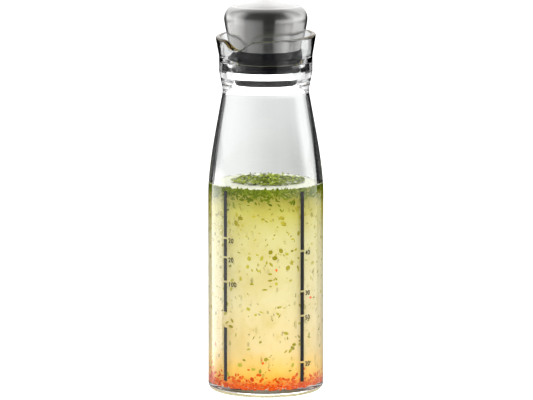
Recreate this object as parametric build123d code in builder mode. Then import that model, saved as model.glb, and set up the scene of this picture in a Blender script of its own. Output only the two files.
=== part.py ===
"""A glass dressing shaker: a bottle with a pouring lip, printed scales and a push-in stopper.

Millimetres. +Z is up, the origin is the middle of the foot, and the lip pours towards -Y.
Azimuths are measured from -Y towards +X.
"""

import os
from math import atan, cos, degrees, radians, sin, sqrt, tan

from build123d import *

# Bottle, from the foot upwards
body_radius = 27.5
body_height = 94.0
wall = 2.8
base_thickness = 3.6
base_corner = 3.2
floor_corner = 5.0
foot_ring_width = 3.5
punt_depth = 1.4

# Shoulder, from the top of the straight body to the waist
shoulder_height = 49.8
# How much narrower the waist is than the collar
waist_inset = 1.8
waist_wall = 2.3
waist_round = 9.0
# Height and narrowing along the shoulder, as shares of both
shoulder_shares = ((0.29, 0.15), (0.54, 0.415), (0.775, 0.71))
shoulder_end_slope = 0.19

# Collar, which the stopper goes down into
collar_rise = 9.2
collar_height = 7.6
collar_round = 6.0
bore_length = 6.6
bore_lead = 3.6
ledge_width = 2.2
mouth_wall = 3.4

# Mouth, from the collar to the rim
mouth_height = 11.1
rim_flare = 1.75
rim_wall = 2.5
rim_round = 1.1
# How much lower the rim is over the lip than at the back
rim_fall = 2.6

# Pouring lip, a tilted notch with a rounded bottom
lip_depth = 7.0
lip_half_angle = 52.0
lip_round = 4.2
lip_tilt = 24.0

# Stopper: a steel cap over a moulded core, with a black silicone seal
plug_radius = 15.9
lip_ring_radius = 0.55
seat_flange_radius = 17.6
seat_flange_height = 3.6
plug_depth = 4.1
plug_corner = 0.6
cap_gap_above_ledge = 6.0
cap_foot_radius = 16.9
cap_radius = 19.8
cap_height = 23.5
cap_flare_height = 12.6
cap_side_share = 0.76
dome_radius = 44.0
crown_round = 4.0
shell_thickness = 0.8
core_wall = 2.0
core_web = 2.4
core_height = 15.0
stem_radius = 8.0
spool_radius = 11.0
spool_height = 1.8

# Contents
fill_height = 96.4
herb_layer_height = 4.2
sediment_height = 6.0

# Printed scales: bars broken by short bare ticks
bar_width = 2.0
enamel_thickness = 0.12
bar_foot = 7.3
bar_top = 98.3
tick_gap = 0.9
front_bar_azimuth = -7.9
front_bar_pitch = 82.5
# Where the ticks lie on the two sorts of bar, as shares of its length from its foot
herb_tick_shares = (0.525, 0.653, 0.754)
oil_tick_shares = (0.103, 0.348, 0.477, 0.689)
# The long bare stretch of the first sort, from and to
bare_stretch_shares = (0.283, 0.366)

# Clearances
bore_clearance = 0.15
seat_clearance = 0.1
cap_clearance = 0.1
core_clearance = 0.05
fill_clearance = 0.05
enamel_clearance = 0.02
cut_overrun = 5.0

# Heights of the parts of the bottle above the foot
waist_level = body_height + shoulder_height
collar_level = waist_level + collar_rise
collar_top_level = collar_level + collar_height
rim_level = collar_top_level + mouth_height
bore_radius = plug_radius + lip_ring_radius + bore_clearance
collar_radius = bore_radius + ledge_width + mouth_wall
ledge_radius = bore_radius + ledge_width
waist_radius = collar_radius - waist_inset
ledge_level = collar_top_level - mouth_wall
rim_radius = collar_radius + rim_flare
bore_foot_level = ledge_level - bore_length
inner_radius = body_radius - wall

# Heights of the stopper at rest
seat_level = ledge_level + seat_clearance
cap_foot_level = seat_level + cap_gap_above_ledge
cap_top_level = cap_foot_level + cap_height


def dome_level(radius):
    """The height of the cap's outer dome at a radius."""
    return cap_top_level - dome_radius + sqrt(dome_radius**2 - radius**2)


crown_level = dome_level(cap_radius)

os.makedirs("parts", exist_ok=True)


def finish(piece, name):
    """Label a finished piece and write it under its own name."""
    piece.part.label = name
    export_step(piece.part, f"parts/{name}.step")


def shoulder_points(low_radius, high_radius, low_level, high_level):
    """The points of the shoulder curve between two radii and two heights."""
    middle = [
        (low_radius + (high_radius - low_radius) * drop, low_level + (high_level - low_level) * rise)
        for rise, drop in shoulder_shares
    ]
    return [(low_radius, low_level), *middle, (high_radius, high_level)]


def hollow_section(gap):
    """Half the bottle's hollow, from the floor to above the rim, drawn smaller by a gap."""
    body = inner_radius - gap
    waist = waist_radius - waist_wall - gap
    bore = bore_radius - gap
    ledge = ledge_radius - gap
    rim_inner = rim_radius - rim_wall - gap
    floor_level = base_thickness + gap
    lead_level = bore_foot_level - bore_lead
    with BuildSketch(Plane.XZ) as section:
        with BuildLine():
            Line((0, floor_level), (body - floor_corner, floor_level))
            RadiusArc((body - floor_corner, floor_level), (body, floor_level + floor_corner), -floor_corner)
            Line((body, floor_level + floor_corner), (body, body_height))
            Spline(
                *shoulder_points(body, waist, body_height, lead_level),
                tangents=((0, 1), (-shoulder_end_slope, 1)),
            )
            Polyline(
                (waist, lead_level),
                (bore, bore_foot_level),
                (bore, ledge_level),
                (ledge, ledge_level),
                (rim_inner, rim_level),
                (rim_inner, rim_level + cut_overrun),
                (0, rim_level + cut_overrun),
                (0, floor_level),
            )
        make_face()
    return section.sketch


def ring_edges(piece, radius, level):
    """The circular edges of a turned piece at a radius and a height."""
    return [
        edge
        for edge in piece.edges().filter_by(GeomType.CIRCLE)
        if abs(edge.radius - radius) < fill_clearance and abs(edge.center().Z - level) < fill_clearance
    ]


# Glass bottle, turned, then notched for the pouring lip
with BuildPart() as bottle:
    with BuildSketch(Plane.XZ):
        with BuildLine():
            Line((0, 0), (body_radius, 0))
            Line((body_radius, 0), (body_radius, body_height))
            Spline(
                *shoulder_points(body_radius, waist_radius, body_height, waist_level),
                tangents=((0, 1), (-shoulder_end_slope, 1)),
            )
            Polyline(
                (waist_radius, waist_level),
                (collar_radius, collar_level),
                (collar_radius, collar_top_level),
                (rim_radius, rim_level),
                (0, rim_level),
                (0, 0),
            )
        make_face()
    revolve(axis=Axis.Z)
    fillet(ring_edges(bottle, body_radius, 0), base_corner)
    fillet(ring_edges(bottle, waist_radius, waist_level), waist_round)
    fillet(ring_edges(bottle, collar_radius, collar_level), collar_round)
    fillet(ring_edges(bottle, collar_radius, collar_top_level), collar_round)
    revolve(hollow_section(0), axis=Axis.Z, mode=Mode.SUBTRACT)
    # The underside rises from a foot ring to a shallow dome
    with BuildSketch(Plane.XZ):
        punt_radius = body_radius - base_corner - foot_ring_width
        with BuildLine():
            ThreePointArc(
                (-punt_radius, 0),
                (0, punt_depth),
                (punt_radius, 0),
            )
            Line((punt_radius, 0), (-punt_radius, 0))
        make_face()
        split(bisect_by=Plane.YZ, keep=Keep.TOP)
    revolve(axis=Axis.Z, mode=Mode.SUBTRACT)
    # The rim slopes down from the back to the front
    rim_tilt = degrees(atan(rim_fall / (rim_radius * 2)))
    rim_plane = Plane.XY.offset(rim_level - rim_fall / 2).rotated((rim_tilt, 0, 0))
    split(bisect_by=rim_plane, keep=Keep.BOTTOM)
    fillet(bottle.faces().filter_by(GeomType.PLANE).sort_by(Axis.Z)[-1].edges(), rim_round)
    # The notch runs outwards and downwards through the front wall of the mouth
    notch_drop = lip_depth + lip_round / sin(radians(lip_half_angle)) - lip_round
    notch_rise = lip_depth
    notch_spread = (notch_drop + notch_rise) * tan(radians(lip_half_angle))
    with BuildSketch(Plane.XZ.offset(rim_radius)):
        with BuildLine():
            Polyline(
                (-notch_spread, rim_level + notch_rise),
                (0, rim_level - notch_drop),
                (notch_spread, rim_level + notch_rise),
                close=True,
            )
        notch = make_face()
        fillet(notch.vertices().sort_by(Axis.Z)[0], lip_round)
    pour_direction = (0, -cos(radians(lip_tilt)), -sin(radians(lip_tilt)))
    extrude(amount=rim_radius / 2, dir=pour_direction, both=True, mode=Mode.SUBTRACT)
finish(bottle, "bottle")


def content_layer(low_level, high_level):
    """One layer of the bottle's contents, which fills the hollow between two heights."""
    with BuildPart() as layer:
        revolve(hollow_section(fill_clearance), axis=Axis.Z)
        with BuildSketch(Plane.XY.offset(low_level)):
            Circle(body_radius)
        extrude(amount=high_level - low_level, mode=Mode.INTERSECT)
    return layer


fill_level = base_thickness + fill_height
herb_level = fill_level - herb_layer_height
sediment_level = base_thickness + sediment_height
finish(content_layer(base_thickness, sediment_level), "chilli_sediment")
finish(content_layer(sediment_level, herb_level), "dressing")
finish(content_layer(herb_level, fill_level), "herb_layer")


def scale_bar(azimuth, breaks):
    """One printed bar on the body, with a bare gap over each (low, high) pair of breaks."""
    inner = body_radius + enamel_clearance
    outer = inner + enamel_thickness
    bar_plane = Plane.XZ.rotated((0, 0, azimuth))
    with BuildPart() as bar:
        with BuildSketch(Plane.XY.offset(bar_foot)):
            Circle(outer)
            Circle(inner, mode=Mode.SUBTRACT)
        extrude(amount=bar_top - bar_foot)
        with BuildSketch(bar_plane):
            with Locations((0, (bar_foot + bar_top) / 2)):
                Rectangle(bar_width, bar_top - bar_foot)
            for low, high in breaks:
                with Locations((0, (low + high) / 2)):
                    Rectangle(bar_width + tick_gap, high - low, mode=Mode.SUBTRACT)
        extrude(amount=outer + cut_overrun, mode=Mode.INTERSECT)
    return bar


def bar_level(share):
    """The height at a share of a bar's length."""
    return bar_foot + (bar_top - bar_foot) * share


def tick_breaks(shares):
    """The short bare gap at each tick."""
    levels = [bar_level(share) for share in shares]
    return [(level - tick_gap / 2, level + tick_gap / 2) for level in levels]


bare_low, bare_high = (bar_level(share) for share in bare_stretch_shares)
herb_breaks = [(bare_low, bare_high), *tick_breaks(herb_tick_shares)]
oil_breaks = tick_breaks(oil_tick_shares)
back_bar_pitch = (360 - front_bar_pitch) / 3
bar_azimuths = (
    front_bar_azimuth,
    front_bar_azimuth + front_bar_pitch,
    front_bar_azimuth + front_bar_pitch + back_bar_pitch,
    front_bar_azimuth + front_bar_pitch + back_bar_pitch * 2,
)
for number, azimuth in enumerate(bar_azimuths, start=1):
    finish(scale_bar(azimuth, herb_breaks if number % 2 else oil_breaks), f"scale_bar_{number}")


def cap_form(inset):
    """The cap's form as a solid, with a flared side and a shallow dome, smaller by an inset."""
    foot = cap_foot_radius - inset
    side = cap_radius - inset
    side_level = cap_foot_level + (crown_level - cap_foot_level) * cap_side_share
    with BuildPart() as form:
        with BuildSketch(Plane.XZ):
            with BuildLine():
                Line((0, cap_foot_level), (foot, cap_foot_level))
                Bezier(
                    (foot, cap_foot_level),
                    (side, cap_foot_level + cap_flare_height),
                    (side, side_level),
                )
                Line((side, side_level), (side, crown_level))
                ThreePointArc(
                    (side, crown_level),
                    (side / 2, dome_level(side / 2) - inset),
                    (0, cap_top_level - inset),
                )
                Line((0, cap_top_level - inset), (0, cap_foot_level))
            make_face()
        revolve(axis=Axis.Z)
        fillet(ring_edges(form, side, crown_level), crown_round - inset)
    return form


# Steel cap: a thin pressed shell, open below
with BuildPart() as cap_shell:
    add(cap_form(0))
    add(cap_form(shell_thickness), mode=Mode.SUBTRACT)
finish(cap_shell, "cap_shell")

# Moulded core: a cup inside the cap, with a stem and a spool that hold the seal
with BuildPart() as cap_core:
    with BuildSketch(Plane.XZ):
        core_radius = cap_foot_radius - shell_thickness - cap_clearance
        spool_foot = seat_level - plug_depth
        core_foot = cap_foot_level + cap_clearance
        core_top = core_foot + core_height
        with BuildLine():
            Polyline(
                (0, spool_foot),
                (spool_radius, spool_foot),
                (spool_radius, spool_foot + spool_height),
                (stem_radius, spool_foot + spool_height),
                (stem_radius, core_foot),
                (core_radius, core_foot),
                (core_radius, core_top),
                (core_radius - core_wall, core_top),
                (core_radius - core_wall, core_foot + core_web),
                (0, core_foot + core_web),
                close=True,
            )
        make_face()
    revolve(axis=Axis.Z)
finish(cap_core, "cap_core")

# Silicone seal: a flange that sits on the bottle's ledge, over a plug with two lip rings
with BuildPart() as stopper_seal:
    plug_foot = seat_level - plug_depth
    stem_hole = stem_radius + core_clearance
    spool_recess = spool_radius + core_clearance
    recess_level = plug_foot + spool_height + core_clearance
    seal_top = cap_foot_level - cap_clearance
    with BuildSketch(Plane.XZ):
        with BuildLine():
            Polyline(
                (stem_hole, recess_level),
                (spool_recess, recess_level),
                (spool_recess, plug_foot),
                (plug_radius, plug_foot),
                (plug_radius, seat_level),
                (seat_flange_radius, seat_level),
                (seat_flange_radius, seat_level + seat_flange_height),
                (cap_foot_radius, seal_top),
                (stem_hole, seal_top),
                close=True,
            )
        make_face()
        with Locations(
            (plug_radius, plug_foot + plug_depth / 4),
            (plug_radius, plug_foot + plug_depth * 3 / 4),
        ):
            Circle(lip_ring_radius)
    revolve(axis=Axis.Z)
    fillet(ring_edges(stopper_seal, seat_flange_radius, seat_level + seat_flange_height), plug_corner)
finish(stopper_seal, "stopper_seal")
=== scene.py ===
"""The looks of a glass dressing shaker, laid out as an add-on and run as a script.

Lengths are in metres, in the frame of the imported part: +Z up, the lip pours towards -Y.
Azimuths are measured from -Y towards +X.
"""

import bpy
import numpy as np
from bpy.props import FloatProperty, FloatVectorProperty, IntProperty, PointerProperty
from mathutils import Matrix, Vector


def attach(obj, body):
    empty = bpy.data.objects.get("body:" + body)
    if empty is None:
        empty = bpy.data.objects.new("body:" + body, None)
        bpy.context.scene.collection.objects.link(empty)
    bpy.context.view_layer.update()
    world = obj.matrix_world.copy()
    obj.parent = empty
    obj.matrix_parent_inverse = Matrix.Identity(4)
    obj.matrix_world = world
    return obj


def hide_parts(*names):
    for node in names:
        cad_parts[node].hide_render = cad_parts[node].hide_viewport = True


bl_info = {
    "name": "Dressing Shaker",
    "version": (1, 0, 0),
    "blender": (4, 5, 0),
    "location": "View3D > Sidebar > Shaker",
    "description": "Glass, stopper, print, dressing and studio of a salad dressing shaker",
    "category": "Object",
}

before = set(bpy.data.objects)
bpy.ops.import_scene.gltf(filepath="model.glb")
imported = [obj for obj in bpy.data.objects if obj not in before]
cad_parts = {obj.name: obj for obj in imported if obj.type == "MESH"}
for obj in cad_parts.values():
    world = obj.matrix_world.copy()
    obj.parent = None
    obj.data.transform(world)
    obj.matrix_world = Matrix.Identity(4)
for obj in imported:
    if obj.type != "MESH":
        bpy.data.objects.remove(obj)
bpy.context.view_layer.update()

MM = 0.001
VESSEL = "vessel"
STOPPER = "stopper"
FULL_TURN = 2 * np.pi
WHITE = (1, 1, 1)


def length(name, description, millimetres):
    """A length property with its default in millimetres."""
    return number(name, description, millimetres * MM, unit="LENGTH")


def angle(name, description, degrees):
    """An angle property with its default in degrees."""
    return number(name, description, np.radians(degrees), subtype="ANGLE")


def number(name, description, value, **kind):
    """A number property, plain or of a kind."""
    return FloatProperty(name=name, description=description, default=value, **kind)


def count(name, description, value):
    """A whole number property."""
    return IntProperty(name=name, description=description, default=value)


def colour(name, description, value):
    """A linear colour property."""
    kind = {"size": 3, "subtype": "COLOR"}
    return FloatVectorProperty(name=name, description=description, default=value, **kind)


class ShakerGlassSizes(bpy.types.PropertyGroup):
    """The bottle's sizes, as the part's source has them."""

    body_radius: length("Body radius", "Outside of the straight body", 27.5)
    body_height: length("Body height", "Top of the straight body", 94.0)
    wall: length("Wall", "Glass in the body", 2.8)
    base: length("Base", "Glass under the dressing", 3.6)
    base_corner: length("Base corner", "Round of the foot's edge", 3.2)
    floor_corner: length("Floor corner", "Round of the inner floor's edge", 5.0)
    foot_ring: length("Foot ring", "Width of the flat ring it stands on", 3.5)
    punt: length("Punt", "Rise of the underside", 1.4)
    waist_radius: length("Waist radius", "Outside of the neck's narrowest place", 20.4)
    waist_level: length("Waist level", "Height of the narrowest place", 143.8)
    waist_wall: length("Waist wall", "Glass at the waist", 2.3)
    waist_round: length("Waist round", "Round of the waist", 9.0)
    collar_level: length("Collar foot", "Height where the collar begins", 153.0)
    collar_top: length("Collar top", "Height where the mouth begins to flare", 160.6)
    collar_round: length("Collar round", "Round of the collar's two edges", 6.0)
    collar_radius: length("Collar radius", "Outside of the collar", 22.2)
    bore_radius: length("Bore radius", "Hole that the plug goes down into", 16.6)
    bore_foot: length("Bore foot", "Height of the bore's lower end", 150.6)
    bore_lead: length("Bore lead", "Height over which the bore opens out below", 3.6)
    ledge_radius: length("Ledge radius", "Outside of the ledge the seal sits on", 18.8)
    ledge_level: length("Ledge level", "Height of that ledge", 157.2)
    rim_radius: length("Rim radius", "Outside of the rim", 23.95)
    rim_level: length("Rim level", "Height of the rim at the back", 171.7)
    rim_wall: length("Rim wall", "Glass at the rim", 2.5)
    rim_round: length("Rim round", "Round of the rim", 1.15)
    small_round: length("Small round", "Round of the ledge and the bore's ends", 0.12)
    end_slope: number("Shoulder end slope", "How fast the shoulder still narrows at the waist", 0.19)
    rim_fall: length("Rim fall", "How much lower the rim is at the front than at the back", 2.6)
    lip_depth: length("Lip depth", "How deep the pouring lip dips", 7.2)
    lip_slope: number("Lip slope", "Run over rise of the lip's sides", 1.28)
    lip_bottom: length("Lip bottom", "Roundness of the lip's bottom", 2.2)
    lip_shoulder: length("Lip shoulder", "Roundness where the lip joins the rim", 0.9)
    lip_fall: number("Lip fall", "How much the lip drops for each length outwards", 0.42)


class ShakerStopperSizes(bpy.types.PropertyGroup):
    """The stopper's sizes, as the part's source has them, but for a rounder crown."""

    foot_level: length("Cap foot", "Height of the steel cap's lower edge", 163.3)
    foot_radius: length("Cap foot radius", "Radius of the lower edge", 16.9)
    cap_radius: length("Cap radius", "Widest radius", 19.8)
    cap_top: length("Cap top", "Height of the dome's top", 186.8)
    flare: length("Flare height", "Height over which the side flares", 12.6)
    side_share: number("Side share", "Where the side becomes upright", 0.76)
    dome_radius: length("Dome radius", "Radius of the dome", 44.0)
    crown_round: length("Crown round", "Round between the side and the dome", 6.5)
    shell: length("Shell", "Thickness of the steel", 0.8)
    seat_level: length("Seat level", "Underside of the seal's flange", 157.3)
    plug_depth: length("Plug depth", "How far the plug goes down from there", 4.1)
    plug_radius: length("Plug radius", "Radius of the plug", 15.9)
    ring_radius: length("Ring radius", "Radius of a lip ring's section", 0.55)
    flange_radius: length("Flange radius", "Radius of the seal's flange", 17.6)
    flange_height: length("Flange height", "Height of the flange's side", 3.6)
    flange_round: length("Flange round", "Round of the flange", 0.8)
    seal_gap: length("Seal gap", "Gap under the steel edge", 0.1)
    stem_hole: length("Stem hole", "Radius of the hole for the core's stem", 8.05)
    spool_radius: length("Spool radius", "Radius of the recess for the spool", 11.05)
    spool_height: length("Spool height", "Depth of that recess", 1.85)


class ShakerPrintSizes(bpy.types.PropertyGroup):
    """The printed scales' sizes."""

    bar_width: length("Bar width", "Width of a printed bar", 2.0)
    bar_foot: length("Bar foot", "Height of the bars' lower end", 7.3)
    bar_top: length("Bar top", "Height of the bars' upper end", 98.3)
    tick: length("Tick", "Bare gap at each tick", 0.9)
    lift: length("Lift", "How far the print stands off the glass", 0.02)
    thickness: length("Thickness", "Thickness of the enamel", 0.12)
    digit_height: length("Digit height", "Height of the printed numbers", 2.3)
    digit_weight: length("Digit weight", "How much the numbers' strokes are thickened each way", 0.05)
    digit_gap: length("Digit gap", "From the bar to its numbers", 0.9)
    digit_drop: length("Digit drop", "How far a number's middle lies below its tick", 1.0)
    front_azimuth: angle("Front bar", "Azimuth of the first bar", -7.9)
    front_pitch: angle("Front pitch", "From the first bar to the second", 82.5)


class ShakerContentSizes(bpy.types.PropertyGroup):
    """The contents' sizes and colours."""

    fill_level: length("Fill level", "Height of the dressing's surface", 100.0)
    wetting: length("Wetting", "How far the contents reach into the glass, so that no air shows", 0.06)
    meniscus: length("Meniscus", "How far the dressing climbs the glass", 1.1)
    raft_radius: length("Raft radius", "How far the floating herbs spread", 18.2)
    raft_offset: length("Raft offset", "How far the floating herbs lie behind the middle", 5.6)
    raft_aside: length("Raft aside", "How far they lie to the right of it", 1.4)
    raft_count: count("Raft count", "Flakes in the floating herbs", 620)
    band_count: count("Band count", "Flakes in the band below the surface", 1700)
    band_depth: length("Band depth", "How far that band goes down", 2.0)
    adrift_count: count("Adrift count", "Herb flakes adrift further down", 700)
    settled_count: count("Settled count", "Chilli flakes near the floor", 1500)
    settled_height: length("Settled height", "How high they lie", 1.8)
    stray_count: count("Stray count", "Chilli flakes adrift", 14)
    flake: length("Flake", "Half the length of a middling herb flake", 1.0)
    foot: colour("Foot", "The dressing at the floor, red with chilli", (0.66, 0.12, 0.012))
    ember: colour("Ember", "The dressing among the settled chilli", (0.78, 0.24, 0.02))
    glow: colour("Glow", "The dressing above the chilli", (0.82, 0.46, 0.055))
    amber: colour("Amber", "The dressing low down, tinted by chilli", (0.8, 0.54, 0.12))
    low: colour("Low", "The dressing above the tint", (0.71, 0.57, 0.27))
    pale: colour("Pale", "The cloudy dressing at its palest", (0.645, 0.57, 0.3))
    middle: colour("Middle", "The dressing in the upper half", (0.575, 0.53, 0.225))
    upper: colour("Upper", "The dressing where herbs begin to gather", (0.48, 0.445, 0.09))
    herby: colour("Herby", "The dressing among the herbs", (0.27, 0.26, 0.03))
    # Painted light: a pale colour on the dressing's top, as a painted highlight, and on its underside,
    # as painted light from below
    surface: colour("Surface", "The top and the underside of the dressing", (0.8, 0.8, 0.62))
    chilli: colour("Chilli", "Dark chilli flakes", (0.5, 0.025, 0.004))
    young_chilli: colour("Young chilli", "Light chilli flakes", (0.85, 0.17, 0.015))
    leaf: colour("Leaf", "Dark chopped herbs", (0.035, 0.06, 0.002))
    young_leaf: colour("Young leaf", "Light chopped herbs", (0.2, 0.25, 0.018))
    steeped_leaf: colour("Steeped leaf", "Dark herbs adrift in the dressing", (0.2, 0.17, 0.01))
    faded_leaf: colour("Faded leaf", "Light herbs adrift in the dressing", (0.52, 0.46, 0.06))
    top_leaf: colour("Top leaf", "Dark floating herbs", (0.05, 0.1, 0.003))
    dry_leaf: colour("Dry leaf", "Light floating herbs", (0.46, 0.52, 0.1))


class ShakerStudio(bpy.types.PropertyGroup):
    """The camera and the light."""

    azimuth: angle("Azimuth", "Where the camera stands", 36.0)
    distance: length("Distance", "From the bottle's axis to the camera", 1960.0)
    height: length("Height", "Of the camera above the floor", 380.0)
    aim_level: length("Aim level", "Height on the axis that the camera points at", 91.1)
    lens: number("Lens", "Focal length in millimetres", 281.0)
    shift: number("Shift", "Sideways shift of the picture", 0.0013)
    floor_size: length("Floor size", "Half the floor's width", 9000.0)
    card_distance: length("Card distance", "From the bottle's axis to the cards", 1000.0)
    seed: count("Seed", "Seed of everything scattered", 11)


def values_of(kind):
    """The properties of one kind: glass, stopper, print, contents or studio."""
    return getattr(bpy.context.scene, "shaker_" + kind)


# Outlines: arrays of (radius, height)


def clamped_spline(points, start, end, steps):
    """A cubic spline through points, with a direction at each end, by chord length.

    On each span the curve is the Hermite blend of its ends and slopes, and the slopes inside
    solve the equations that make the bend the same on both sides of each point.
    """
    p = np.asarray(points, float)
    h = np.linalg.norm(np.diff(p, axis=0), axis=1)
    n = len(p)
    a = np.zeros((n, n))
    b = np.zeros((n, 2))
    a[0, 0] = a[-1, -1] = 1
    b[0] = np.asarray(start, float) / np.linalg.norm(start)
    b[-1] = np.asarray(end, float) / np.linalg.norm(end)
    for i in range(1, n - 1):
        a[i, i - 1], a[i, i], a[i, i + 1] = h[i], 2 * (h[i - 1] + h[i]), h[i - 1]
        b[i] = 3 * (h[i - 1] * (p[i + 1] - p[i]) / h[i] + h[i] * (p[i] - p[i - 1]) / h[i - 1])
    m = np.linalg.solve(a, b)
    t = np.linspace(0, 1, steps, endpoint=False)[:, None]
    spans = [
        (1 + 2 * t) * (1 - t) ** 2 * p[i]
        + t * (1 - t) ** 2 * h[i] * m[i]
        + t**2 * (3 - 2 * t) * p[i + 1]
        - t**2 * (1 - t) * h[i] * m[i + 1]
        for i in range(n - 1)
    ]
    return np.vstack([*spans, p[-1:]])


def arc(centre, radius, start, end, steps):
    """Points on a circle, from one angle to another, in degrees from the radius axis."""
    t = np.radians(np.linspace(start, end, steps))
    return np.stack([centre[0] + radius * np.cos(t), centre[1] + radius * np.sin(t)], axis=1)


def rounded_corner(points, corner, radius, steps):
    """The outline with one corner replaced by an arc that touches both sides.

    The arc starts and ends radius times the tangent of half the turn from the corner.
    """
    p = np.asarray(points, float)
    c = np.asarray(corner, float)
    k = int(np.argmin(np.linalg.norm(p - c, axis=1)))
    c = p[k]
    before, after = c - p[k - 1], p[k + 1] - c
    before, after = before / np.linalg.norm(before), after / np.linalg.norm(after)
    turn = np.arccos(np.clip(before @ after, -1, 1))
    reach = radius * np.tan(turn / 2)
    side = np.sign(before[0] * after[1] - before[1] * after[0])
    inward = np.array([-before[1], before[0]]) * side
    middle = c - before * reach + inward * radius
    angles = np.linspace(0, turn, steps)[:, None] * side
    spoke = -inward * radius
    swept = np.hstack([
        spoke[0] * np.cos(angles) - spoke[1] * np.sin(angles),
        spoke[0] * np.sin(angles) + spoke[1] * np.cos(angles),
    ])
    first, last = k, k
    while first > 0 and np.linalg.norm(p[first - 1] - c) <= reach:
        first -= 1
    while last < len(p) - 1 and np.linalg.norm(p[last + 1] - c) <= reach:
        last += 1
    return np.vstack([p[:first], middle + swept, p[last + 1 :]])


def rounded(points, *corners, steps=9):
    """The outline with each (corner, radius) rounded in turn."""
    for corner, radius in corners:
        points = rounded_corner(points, corner, radius, steps)
    return points


def without_repeats(points):
    """The outline without points that lie on the one before."""
    p = np.asarray(points, float)
    keep = np.r_[True, np.linalg.norm(np.diff(p, axis=0), axis=1) > 1e-7]
    return p[keep]


# Points on the shoulder, as shares of its height and of how much it narrows
SHOULDER_SHARES = np.array([(0.29, 0.15), (0.54, 0.415), (0.775, 0.71)])


def shoulder(low_radius, high_radius, low_level, high_level, steps=10):
    """The shoulder's curve, from the body up to the waist."""
    g = values_of("glass")
    middle = np.stack([
        low_radius + (high_radius - low_radius) * SHOULDER_SHARES[:, 1],
        low_level + (high_level - low_level) * SHOULDER_SHARES[:, 0],
    ], axis=1)
    points = np.vstack([(low_radius, low_level), middle, (high_radius, high_level)])
    return clamped_spline(points, (0, 1), (-g.end_slope, 1), steps)


def outer_outline():
    """The bottle's outside, from the middle of the underside to the middle of the rim."""
    g = values_of("glass")
    punt_radius = g.body_radius - g.base_corner - g.foot_ring
    ball = (punt_radius**2 + g.punt**2) / (2 * g.punt)
    spread = np.degrees(np.arcsin(punt_radius / ball))
    under = arc((0, g.punt - ball), ball, 90, 90 - spread, 12)
    points = np.vstack([
        under,
        (g.body_radius, 0),
        shoulder(g.body_radius, g.waist_radius, g.body_height, g.waist_level),
        (g.collar_radius, g.collar_level),
        (g.collar_radius, g.collar_top),
        (g.rim_radius, g.rim_level),
        (g.rim_radius - g.rim_wall / 2, g.rim_level),
    ])
    return without_repeats(rounded(
        points,
        ((punt_radius, 0), g.rim_round),
        ((g.body_radius, 0), g.base_corner),
        ((g.waist_radius, g.waist_level), g.waist_round),
        ((g.collar_radius, g.collar_level), g.collar_round),
        ((g.collar_radius, g.collar_top), g.collar_round),
        ((g.rim_radius, g.rim_level), g.rim_round),
    ))


def inner_outline():
    """The bottle's inside, from the middle of the rim down to the middle of the floor."""
    g = values_of("glass")
    inner = g.body_radius - g.wall
    waist = g.waist_radius - g.waist_wall
    lead = g.bore_foot - g.bore_lead
    rim_inner = g.rim_radius - g.rim_wall
    points = np.vstack([
        (g.rim_radius - g.rim_wall / 2, g.rim_level),
        (rim_inner, g.rim_level),
        (g.ledge_radius, g.ledge_level),
        (g.bore_radius, g.ledge_level),
        (g.bore_radius, g.bore_foot),
        shoulder(inner, waist, g.body_height, lead)[::-1],
        (inner, g.base),
        (0, g.base),
    ])
    return without_repeats(rounded(
        points,
        ((rim_inner, g.rim_level), g.rim_round),
        ((g.ledge_radius, g.ledge_level), g.small_round),
        ((g.bore_radius, g.ledge_level), g.small_round),
        ((g.bore_radius, g.bore_foot), g.small_round),
        ((waist, lead), g.waist_round),
        ((inner, g.base), g.floor_corner),
    ))


def wall_radius(outline, levels):
    """The radius of a wall's outline at the given heights."""
    p = outline[np.argsort(outline[:, 1])]
    return np.interp(levels, p[:, 1], p[:, 0])


# Meshes


def even_angles(steps):
    """Azimuths all round, evenly spaced."""
    return np.linspace(0, FULL_TURN, steps, endpoint=False)


def lip_angles(steps, lip_steps, lip_half):
    """Azimuths all round, closer together across the pouring lip."""
    across = np.linspace(-lip_half, lip_half, lip_steps, endpoint=False)
    rest = np.linspace(lip_half, FULL_TURN - lip_half, steps, endpoint=False)
    return np.concatenate([across, rest])


def mesh_object(name, vertices, faces):
    """A smooth mesh object from an array of points and arrays of faces with like corner counts."""
    mesh = bpy.data.meshes.new(name)
    mesh.vertices.add(len(vertices))
    mesh.vertices.foreach_set("co", np.asarray(vertices, np.float32).ravel())
    corners = np.concatenate([f.ravel() for f in faces])
    totals = np.concatenate([np.full(len(f), f.shape[1]) for f in faces])
    mesh.loops.add(len(corners))
    mesh.loops.foreach_set("vertex_index", corners.astype(np.int32))
    mesh.polygons.add(len(totals))
    mesh.polygons.foreach_set("loop_start", np.r_[0, np.cumsum(totals)[:-1]].astype(np.int32))
    mesh.polygons.foreach_set("use_smooth", np.ones(len(totals), bool))
    mesh.update(calc_edges=True)
    mesh.validate()
    made = bpy.data.objects.new(name, mesh)
    bpy.context.scene.collection.objects.link(made)
    return made


def cells(index):
    """The corners of each cell of a grid of vertex numbers, four in a row."""
    corners = index[:-1, :-1], index[1:, :-1], index[1:, 1:], index[:-1, 1:]
    return np.stack(corners, axis=2).reshape(-1, 4)


def carry(piece, name, numbers):
    """Give a number of its own to each vertex of a piece, as an attribute."""
    attribute = piece.data.attributes.new(name, "FLOAT", "POINT")
    attribute.data.foreach_set("value", numbers.astype(np.float32))


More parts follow.
